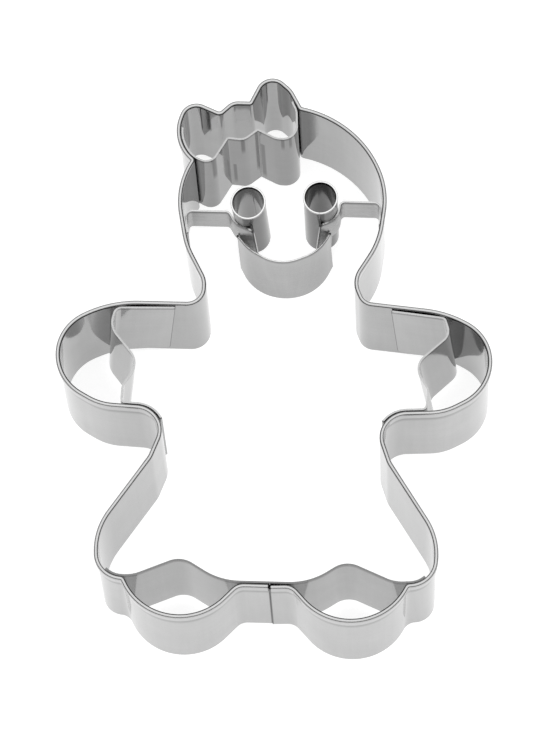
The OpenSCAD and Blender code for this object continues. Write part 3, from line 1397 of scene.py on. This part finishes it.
@dataclass(frozen=True)
class Sleeve:
    """One strip across an arm, from its tab on the shoulder to its tail round the waist.

    Args:
        side: Which arm.
        tab: Shares of the shoulder's line at which the tab starts and ends.
        tab_lift: How far the tab's start stands off the wall, beyond a weld.
        tab_bend: Radius of the bend that ends the tab.
        tab_slant: How far the tab's start leans out at the lower edge.
        elbow: First bend across the arm: distance from the hand, depth below the shoulder, radius.
        bends: The next two: distance from the hand, height above the waist, radius.
        tail: Share of the line beside the waist at which the tail starts, and radius of its bend.
        wrap: Share of the waist corner's rounding that the tail follows.
    """

    side: Side
    tab: tuple[float, float]
    tab_lift: float
    tab_bend: float
    tab_slant: float
    elbow: Row
    bends: tuple[Row, Row]
    tail: tuple[float, float]
    wrap: float


@dataclass
class InnerStrips:
    """Feet strip, sleeve strips and bow strip, all welded to the band's inner wall.

    Each sleeve's lower edge leans out and down by a share of sleeve_lean at each of its corners.
    skirt_corner and waist_corner are the numbers of the band's corners that strips are welded to.
    """

    band: OuterBand
    left_sleeve: Sleeve = Sleeve(
        Side.LEFT, tab=(0.31, 0.94), tab_lift=0.0, tab_bend=1.4, tab_slant=1.9, elbow=(8.8, 5.1, 4.1),
        bends=((14.5, 8.4, 3.7), (11.6, 4.0, 2.8)), tail=(0.28, 0.7), wrap=0.55)
    right_sleeve: Sleeve = Sleeve(
        Side.RIGHT, tab=(0.65, 0.02), tab_lift=0.1, tab_bend=0.8, tab_slant=1.1, elbow=(6.9, 5.1, 2.5),
        bends=((13.4, 9.1, 3.3), (10.5, 4.4, 2.9)), tail=(0.765, 0.9), wrap=0.5)
    bottom: float = 2.0
    feet_height: float = 19.5
    feet_slack: float = 0.1
    rise_x: float = 8.0
    rise_bend: float = 12.4
    ankle_y: float = 5.0
    ankle_bend: float = 4.3
    left_ankle_x: float = 15.1
    right_ankle_x: float = 14.3
    foot_width: float = 8.8
    foot_bend: float = 7.0
    sleeve_height: float = 19.4
    sleeve_lean: float = 1.6
    sleeve_out: Row = (1, 1, 1.25, 1.1, 0.5, 0, 0)
    sleeve_down: Row = (0, 0.35, 0.1, 0, 0, 0, 0, 0)
    tab_slack: float = 0.25
    tail_slack: float = 0.15
    tab_end: CutEnd = CutEnd(low_r=0.5, high_r=0.25)
    tail_end: CutEnd = CutEnd(low_r=0.4, high_r=0.4)
    bow_bottom: float = 0.3
    bow_height: float = 21.3
    bow_weld: tuple[float, float] = (0.22, 0.86)
    bow_leave: float = 1.3
    bow_end: float = 0.52
    skirt_corner: int = 4
    waist_corner: int = 7
    # The inner strips' steel is a little darker than the band's, as painted shade for the shaded floor that
    # they mirror inside the figure. The feet strip's cut edge is painted dark, as a painted shade line
    # along its top.
    feet_steels: tuple[Steel, ...] = (SheetSteel("feet_steel", 0.41), CutSteel("feet_edge", 0.17))
    sleeve_steels: tuple[Steel, ...] = (
        SheetSteel("sleeve_steel", 0.41, edge_shade=0.5), CutSteel("sleeve_edge", 0.4))
    # The bow strip's steel is much darker than the band's, as painted shade for the shaded floor that it
    # mirrors; its face to the left of travel is painted lighter, and the streaks are painted reflections.
    bow_steels: tuple[Steel, ...] = (
        BowSteel("bow_steel", 0.28, left_shading=1.75, edge_shade=0.5, reflection_streaks=(
            Mark(10.4, 0.6, 12.5, 21.4, 0.45), Mark(18.0, 0.45, 15.0, 21.4, 0.5),
            Mark(26.4, 0.4, 16.5, 21.4, 0.55), Mark(27.8, 0.35, 16.5, 21.4, 0.55),
            Mark(20.9, 0.5, 4.0, 21.4, 0.5), Mark(22.3, 0.55, 1.0, 16.0, 0.5),
            Mark(16.2, 0.4, 1.5, 10.0, 0.55))),
        CutSteel("bow_edge", 0.4))

    def build(self) -> list[Part]:
        """Makes the four strips.

        Returns:
            The finished pieces.
        """
        made = [(self._sleeve(sleeve), self.sleeve_steels, f"{sleeve.side.word}_sleeve_strip")
                for sleeve in (self.left_sleeve, self.right_sleeve)]
        made.append((self._feet(), self.feet_steels, "feet_strip"))
        made.append((self._bow(), self.bow_steels, "bow_strip"))
        return [Part(piece, Slot.STRIPS, steels, node) for piece, steels, node in made]

    def _leg(self, ankle_x: float) -> list[Corner]:
        """The feet strip on the right, from the middle outwards.

        Args:
            ankle_x: Where it stands highest over the foot.

        Returns:
            Its corners.
        """
        lap = self.band.lap
        weld = self.band.wall.around(self.skirt_corner, lap).arc_part(0.0, 0.5)
        return [Corner(self.rise_x, self.band.seam_y + lap + self.feet_slack, self.rise_bend),
                Corner(ankle_x, self.ankle_y, self.ankle_bend),
                Corner(ankle_x + self.foot_width, self.band.hem_y, self.foot_bend), *weld[1:]]

    def _feet(self) -> bpy.types.Object:
        """The strip across the hem, which closes each foot off.

        Returns:
            The new mesh object.
        """
        left = Bend(tuple(self._leg(self.left_ankle_x))).mirrored()
        bend = Bend((*left.corners, *self._leg(self.right_ankle_x)))
        return self.band.shop.plate("feet_strip_sheet", bend, Blank(self.bottom, self.feet_height))

    def _sleeve_rows(self, sleeve: Sleeve) -> list[Corner]:
        """Upper edge of a strip across an arm.

        Args:
            sleeve: Which strip.

        Returns:
            Its corners: tab on the shoulder, bends across the arm, tail round the waist.
        """
        band, wall = self.band, self.band.wall
        off = band.lap + self.tail_slack
        if sleeve.side is Side.LEFT:
            shoulder, waist = band.left_neck, wall.last - self.waist_corner
            beside, weld = waist - 1, wall.around(waist, off)
        else:
            shoulder, waist = band.right_arm, self.waist_corner
            beside, weld = waist, wall.back_around(waist, off)
        x, depth, r = sleeve.elbow
        rows = [(x, band.shoulder_y - depth, r), *((x, band.waist_y + y, r) for x, y, r in sleeve.bends)]
        return [wall.beside_line(shoulder, sleeve.tab[0], band.lap + sleeve.tab_lift),
                wall.beside_line(shoulder, sleeve.tab[1], band.lap + self.tab_slack, sleeve.tab_bend),
                *(Corner(sleeve.side.value * (band.hand_x - x), y, r) for x, y, r in rows),
                wall.beside_line(beside, sleeve.tail[0], off, sleeve.tail[1]),
                *weld.arc_part(0.0, sleeve.wrap)[1:]]

    def _sleeve(self, sleeve: Sleeve) -> bpy.types.Object:
        """A strip across an arm, whose lower edge leans outwards.

        Args:
            sleeve: Which strip.

        Returns:
            The new mesh object.
        """
        rows = self._sleeve_rows(sleeve)
        out = (sleeve.tab_slant / self.sleeve_lean, *self.sleeve_out)
        lower = [Corner(c.x + sleeve.side.value * self.sleeve_lean * o, c.y - self.sleeve_lean * d, c.r)
                 for c, o, d in zip(rows, out, self.sleeve_down)]
        blank = Blank(self.bottom, self.sleeve_height, start=self.tab_end, end=self.tail_end)
        return self.band.shop.plate(f"{sleeve.side.word}_sleeve_sheet", Bend(tuple(lower)), blank,
                                    Bend(tuple(rows)))

    def _bow(self) -> bpy.types.Object:
        """The lower edge of the bow's loops and knot.

        Returns:
            The new mesh object.
        """
        wall, lap, top = self.band.wall, self.band.lap, self.band.crown_y
        weld = wall.around(self.band.bow_cheek, lap).arc_part(*self.bow_weld)
        leaves = weld[2].at + (weld[2].at - weld[1].at).normalized() * self.bow_leave
        folds = Bend.through([
            (leaves.x, leaves.y, 4.7), (-13.0, top - 10.6, 2.1), (-10.1, top - 5.3, 0.35),
            (-7.1, top - 5.6, 2.4), (-4.6, top - 3.5, 0.3), (-1.2, top - 5.2, 3.0), (2.8, top - 5.4, 2.6),
            (2.45, top + 0.5, 3.0)])
        end = wall.beside_line(self.band.bow_foot, self.bow_end, lap)
        bend = Bend((*weld[:2], *folds.corners, end))
        return self.band.shop.plate("bow_strip_sheet", bend, Blank(self.bow_bottom, self.bow_height))


@dataclass(frozen=True)
class Eye:
    """One eye: where its tube stands and how its clip holds it.

    Args:
        side: Which eye.
        at: Middle of the tube's upper end.
        lean: Lean of the tube about X, and backwards about Y, in degrees.
        groove_at: Direction of the tube's own seam, in degrees.
        bar_y: How far the bar lies above the tube's middle.
        bar_turn: Direction in which the bend comes off the bar, in degrees.
        nose_turn: Direction in which the clip leaves the tube, in degrees.
        nose: Length of the clip beyond the tube.
        slant: How much shorter the clip is at its upper edge.
        mouth_turn: Where the mouth's end meets the clip, in degrees round the tube.
        steel: The tube's finish.
    """

    side: Side
    at: tuple[float, float]
    lean: float
    groove_at: float
    bar_y: float
    bar_turn: float
    nose_turn: float
    nose: float
    slant: float
    mouth_turn: float
    steel: TubeSteel

    @property
    def middle(self) -> Vector:
        """Middle of the tube."""
        return Vector(self.at)


@dataclass
class Face:
    """Eye tubes, the clips that hold them, the mouth strip and its welds.

    Tops and bottoms are heights above the cutting edge; mouth_y is a height in the pattern.
    """

    band: OuterBand
    # The tubes' steel is much darker than the band's, as painted shade for the shaded floor that they
    # mirror inside the head; the bore is painted lighter in the left tube and darker in the right, and the
    # streaks are painted reflections.
    left: Eye = Eye(
        Side.LEFT, (-5.7, 74.2), lean=1.61, groove_at=78, bar_y=-0.2, bar_turn=-60, nose_turn=-21,
        nose=4.4, slant=0.9, mouth_turn=235, steel=TubeSteel(
            "left_tube_steel", 0.14, roughness=0.12, ripple=0.006, left_shading=1.7,
            reflection_streaks=(Mark(13.85, 0.8, 15.0, 21.0, 0.15),)))
    right: Eye = Eye(
        Side.RIGHT, (7.45, 75.4), lean=0.0, groove_at=268, bar_y=1.1, bar_turn=-95, nose_turn=-158,
        nose=4.9, slant=1.4, mouth_turn=296, steel=TubeSteel(
            "right_tube_steel", 0.14, roughness=0.12, ripple=0.006, left_shading=0.72,
            reflection_streaks=(Mark(14.5, 0.65, 15.0, 21.0, 0.25),)))
    tube_diameter: float = 6.3
    tube_height: float = 17.5
    tube_bottom: float = 4.0
    tube_oval: float = 1.03
    tube_groove: float = 0.07
    tube_ease: float = 0.08
    lip: float = 0.1
    lip_height: float = 0.6
    lip_bend: float = 0.6
    lip_ease: float = 0.09
    clip_top: float = 17.2
    clip_height: float = 15.6
    bar_height: float = 7.0
    bar_end: float = 4.6
    heel_bend: float = 1.2
    knee_bend: float = 1.0
    clip_foot: CutEnd = CutEnd(low_r=0.4, high_r=0.4)
    nose_corner: float = 0.3
    clip_corner: float = 1.2
    mouth_bottom: float = 0.4
    mouth_height: float = 12.2
    mouth_y: float = 66.1
    mouth_flare: float = 2.0
    weld_size: float = 0.24
    # The clip's painted shadow lines at its ends and painted shade under its upper edge are wider and
    # darker than on the other strips.
    clip_steels: tuple[Steel, ...] = (
        SheetSteel("clip_steel", 0.42, roughness=0.3, end_line=0.3, end_shade=0.3, edge_line=0.7,
                   edge_shade=0.4), CutSteel("clip_edge", 0.5))
    # The mouth's inner face is painted much lighter, as painted light for what the clips mirror, and its
    # cut edge is painted bright as a highlight.
    mouth_steels: tuple[Steel, ...] = (
        SheetSteel("mouth_steel", 0.4, left_shading=2.4, left_roughness=0.9), CutSteel("mouth_edge", 0.75))
    weld_steels: tuple[Steel, ...] = (CutSteel("weld_steel", 0.07, 0.45),)

    @property
    def hug(self) -> float:
        """Radius of the clip's middle line round its tube."""
        return self.tube_diameter / 2 + self.band.lap

    def mouth_end(self, eye: Eye) -> Vector:
        """Where the mouth strip ends, against the outside of a clip."""
        return eye.middle + unit_at(eye.mouth_turn) * (self.hug + self.band.thickness + self.band.weld_gap)

    def build(self) -> list[Part]:
        """Makes the face's pieces.

        Returns:
            The finished pieces.
        """
        made = [Part(self._mouth(), Slot.STRIPS, self.mouth_steels, "mouth_strip")]
        for eye in (self.left, self.right):
            word = eye.side.word
            made.append(Part(self._tube(eye), Slot.TUBES, (eye.steel,), f"{word}_eye_tube"))
            made.append(Part(self._clip(eye), Slot.STRIPS, self.clip_steels, f"{word}_eye_clip"))
            made.append(Part(self._weld(eye), Slot.STRIPS, self.weld_steels))
        return made

    def _tube(self, eye: Eye) -> bpy.types.Object:
        """A short rolled tube, open at both ends, with a belled lip.

        Args:
            eye: Which eye.

        Returns:
            The new mesh object.
        """
        t, r = self.band.thickness, self.tube_diameter / 2
        low, top, lip = self.tube_bottom, self.tube_bottom + self.tube_height, self.lip
        neck = top - self.lip_height
        profile = Profile.rounded([
            (r - t, low, self.tube_ease), (r, low, self.tube_ease), (r, neck, self.lip_bend),
            (r + lip, top, self.lip_ease), (r + lip - t, top, self.lip_ease),
            (r - t, neck, self.lip_bend)], facets=4)
        return self.band.shop.revolve(
            f"{eye.side.word}_eye_tube_wall", eye.middle, profile, pivot=self.clip_top, lean=eye.lean,
            groove_at=eye.groove_at, groove=self.tube_groove, oval=self.tube_oval)

    def _clip_bend(self, eye: Eye) -> Bend:
        """Bent end on the head's wall, bar, and cheek round the tube.

        Args:
            eye: Which eye.

        Returns:
            The clip's bend.
        """
        a, b = eye.bar_turn, eye.nose_turn
        y = eye.middle.y + eye.bar_y
        out = (a + b) / 2 - math.copysign(90, b - a)
        wrap = eye.middle + unit_at(out) * (self.hug / math.cos(math.radians((b - a) / 2)))
        foot = self.band.wall_point(eye.side, y - self.bar_end)
        heel = self.band.wall_point(eye.side, y)
        knee = wrap + unit_at(a) * ((y - wrap.y) / unit_at(a).y)
        tip = wrap + unit_at(b) * eye.nose
        return Bend((foot, Corner(heel.x, heel.y, self.heel_bend), Corner(knee.x, knee.y, self.knee_bend),
                     Corner(wrap.x, wrap.y, self.hug), Corner(tip.x, tip.y)))

    def _clip(self, eye: Eye) -> bpy.types.Object:
        """A clip: low bar, and a deeper cheek from the mouth's end on.

        Args:
            eye: Which eye.

        Returns:
            The new mesh object.
        """
        bend = self._clip_bend(eye)
        track = Track.of(bend.eased().points(bend.eased().plan()))
        cheek_x = eye.side.value * self.mouth_end(eye).x
        cheek = next(s for p, s in zip(track.points, track.along)
                     if s > self.bar_end and eye.side.value * p.x <= cheek_x)
        blank = Blank(self.clip_top - self.clip_height, self.clip_height, start=self.clip_foot,
                      end=CutEnd(high=eye.slant, high_r=self.clip_corner, low_r=self.nose_corner),
                      step_at=cheek, step_z=self.clip_top - self.bar_height)
        return self.band.shop.plate(f"{eye.side.word}_eye_clip_sheet", bend, blank)

    def _mouth(self) -> bpy.types.Object:
        """A wide curve whose lower edge is drawn out towards the chin.

        Returns:
            The new mesh object.
        """
        left, right, y = self.mouth_end(self.left), self.mouth_end(self.right), self.mouth_y
        upper = [(left.x, left.y), (-5.85, y + 2.4, 8.5), (0.0, y - 0.85, 7.5), (7.3, y + 2.3, 7.8),
                 (right.x, right.y)]
        lower = [(left.x + 0.3, left.y - 1.2), (-5.1, y - 1.35, 8.2), (0.85, y - 2.45, 8.7),
                 (6.9, y - 1.25, 8.4), (right.x + 0.3, right.y - 1.4)]
        blank = Blank(self.mouth_bottom, self.mouth_height, flare=self.mouth_flare)
        return self.band.shop.plate("mouth_strip_sheet", Bend.through(lower), blank, Bend.through(upper))

    def _weld(self, eye: Eye) -> bpy.types.Object:
        """The small burnt bead at the upper end of the mouth strip.

        Args:
            eye: Which eye.

        Returns:
            The new mesh object.
        """
        z, r = self.mouth_bottom + self.mouth_height, self.weld_size
        core, low, high = 0.02, z - r, z + r / 2
        profile = Profile.rounded([(core, low, core / 2), (r, low, r), (r, high, r),
                                   (core, high, core / 2)])
        return self.band.shop.revolve(f"{eye.side.word}_mouth_weld", self.mouth_end(eye), profile,
                                      facets=24)


@dataclass
class Studio:
    """Plain pale floor, soft light and the camera at the photograph's angle.

    Lengths are in millimetres, turns in degrees about X, Y and Z, and the lamp's power in watts.
    The sky is (height, light) pairs, from straight below to straight above.
    """

    camera_at: Row = (32.67, -297.7, 781.8)
    camera_turn: Row = (21.145, 1.622, 2.11)
    camera_lens: float = 220.7
    camera_film: float = 36.0
    camera_clip: tuple[float, float] = (10.0, 20000.0)
    floor_size: float = 4000.0
    floor_colour: float = 0.42
    floor_seen: float = 0.86
    floor_mirrored: float = 0.78
    lamp_at: Row = (0.0, 100.0, 1100.0)
    lamp_power: float = 1.4
    lamp_size: float = 1200.0
    sky: tuple[tuple[float, float], ...] = ((0.0, 0.1), (0.45, 0.2), (0.7, 1.3), (1.0, 1.3))

    def build(self) -> None:
        """Makes the camera, the lamp, the world and the floor."""
        self._camera()
        self._lamp()
        self._world()
        self._floor()
        bpy.context.scene.view_settings.view_transform = "Standard"

    def _camera(self) -> None:
        """A long lens, high above the cutter and a little to its front."""
        data = bpy.data.cameras.new("camera")
        data.lens = self.camera_lens
        data.sensor_fit = "AUTO"
        data.sensor_width = self.camera_film
        data.clip_start, data.clip_end = (distance * MM for distance in self.camera_clip)
        camera = linked("camera", data)
        turn = Euler([math.radians(angle) for angle in self.camera_turn])
        camera.matrix_world = Matrix.LocRotScale(Vector(self.camera_at) * MM, turn, None)
        bpy.context.scene.camera = camera

    def _lamp(self) -> None:
        """One large soft box overhead."""
        data = bpy.data.lights.new("softbox", "AREA")
        data.shape = "RECTANGLE"
        data.size = data.size_y = self.lamp_size * MM
        data.energy = self.lamp_power
        linked("softbox", data).location = Vector(self.lamp_at) * MM

    def _world(self) -> None:
        """White for the camera, and for the metal a room that is brightest overhead."""
        world = bpy.data.worlds.new("studio")
        bpy.context.scene.world = world
        tree = NodeTree(world)
        _, _, height = tree.split(tree.node("ShaderNodeTexCoord").outputs["Generated"])
        ramp = tree.node("ShaderNodeValToRGB", {"Fac": height})
        stops = ramp.color_ramp.elements
        while len(stops) < len(self.sky):
            stops.new(0.5)
        for stop, (position, light) in zip(stops, self.sky):
            stop.position = position
            stop.color = (light, light, light, 1)
        room = tree.node("ShaderNodeBackground", {"Color": ramp.outputs["Color"]})
        white = tree.node("ShaderNodeBackground", {"Color": (1, 1, 1, 1)})
        path = tree.node("ShaderNodeLightPath")
        mix = tree.node("ShaderNodeMixShader", {
            "Fac": path.outputs["Is Camera Ray"], 1: room.outputs["Background"],
            2: white.outputs["Background"]})
        tree.node("ShaderNodeOutputWorld", {"Surface": mix.outputs["Shader"]})

    def _floor(self) -> None:
        """A pale floor that is lit from above and lifted towards white where it is looked at."""
        half = self.floor_size / 2 * MM
        data = bpy.data.meshes.new("floor")
        data.from_pydata([(-half, -half, 0), (half, -half, 0), (half, half, 0), (-half, half, 0)],
                         [], [(0, 1, 2, 3)])
        floor = linked("floor", data)
        material = bpy.data.materials.new("floor")
        tree = NodeTree(material)
        path = tree.node("ShaderNodeLightPath")
        lift: Input = 0.0
        for ray, strength in (("Is Camera Ray", self.floor_seen), ("Is Glossy Ray", self.floor_mirrored),
                              ("Is Transmission Ray", self.floor_mirrored)):
            part = tree.node("ShaderNodeMath", {0: path.outputs[ray], 1: strength, 2: lift},
                             operation="MULTIPLY_ADD")
            lift = part.outputs["Value"]
        paper = tree.node("ShaderNodeBsdfDiffuse", {"Color": (self.floor_colour,) * 3 + (1,)})
        glow = tree.node("ShaderNodeEmission", {"Strength": lift})
        both = tree.node("ShaderNodeAddShader", {0: paper.outputs["BSDF"], 1: glow.outputs["Emission"]})
        tree.node("ShaderNodeOutputMaterial", {"Surface": both.outputs["Shader"]})
        data.materials.append(material)


class Cutter:
    """The whole cutter."""

    def __init__(self) -> None:
        """Sets the sub-assemblies out round one band."""
        self.band = OuterBand()
        self.strips = InnerStrips(self.band)
        self.face = Face(self.band)
        self.steels: dict[str, bpy.types.Material] = {}

    def build(self) -> None:
        """Makes, dresses and seats every piece."""
        for assembly in (self.band, self.strips, self.face):
            for part in assembly.build():
                self._seat(part)

    def _seat(self, part: Part) -> None:
        """Gives a piece its steel and fixes it to the cutter's body.

        Args:
            part: The piece.
        """
        for steel in part.steels:
            if steel.name not in self.steels:
                self.steels[steel.name] = steel.make()
            part.piece.data.materials.append(self.steels[steel.name])
        if part.node:
            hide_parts(part.node)
        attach(part.piece, BODY)
        self._report(part)

    @staticmethod
    def _report(part: Part) -> None:
        """Logs a piece, and how far its box is from that of the node it replaces.

        Args:
            part: The piece.
        """
        data, off = part.piece.data, 0.0
        if part.node:
            columns = list(zip(*(v.co for v in data.vertices)))
            off = max(abs(found - wanted) for pick, wall in zip((min, max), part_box(part.node))
                      for found, wanted in zip(map(pick, columns), wall))
        LOG.info("%s: %d faces, box off by %.2f mm", part.piece.name, len(data.polygons), off / MM)


def main() -> None:
    """Builds the studio and the cutter."""
    logging.basicConfig(level=logging.INFO, format="%(name)s: %(message)s", stream=sys.stdout, force=True)
    Studio().build()
    Cutter().build()


if __name__ == "__main__":
    main()
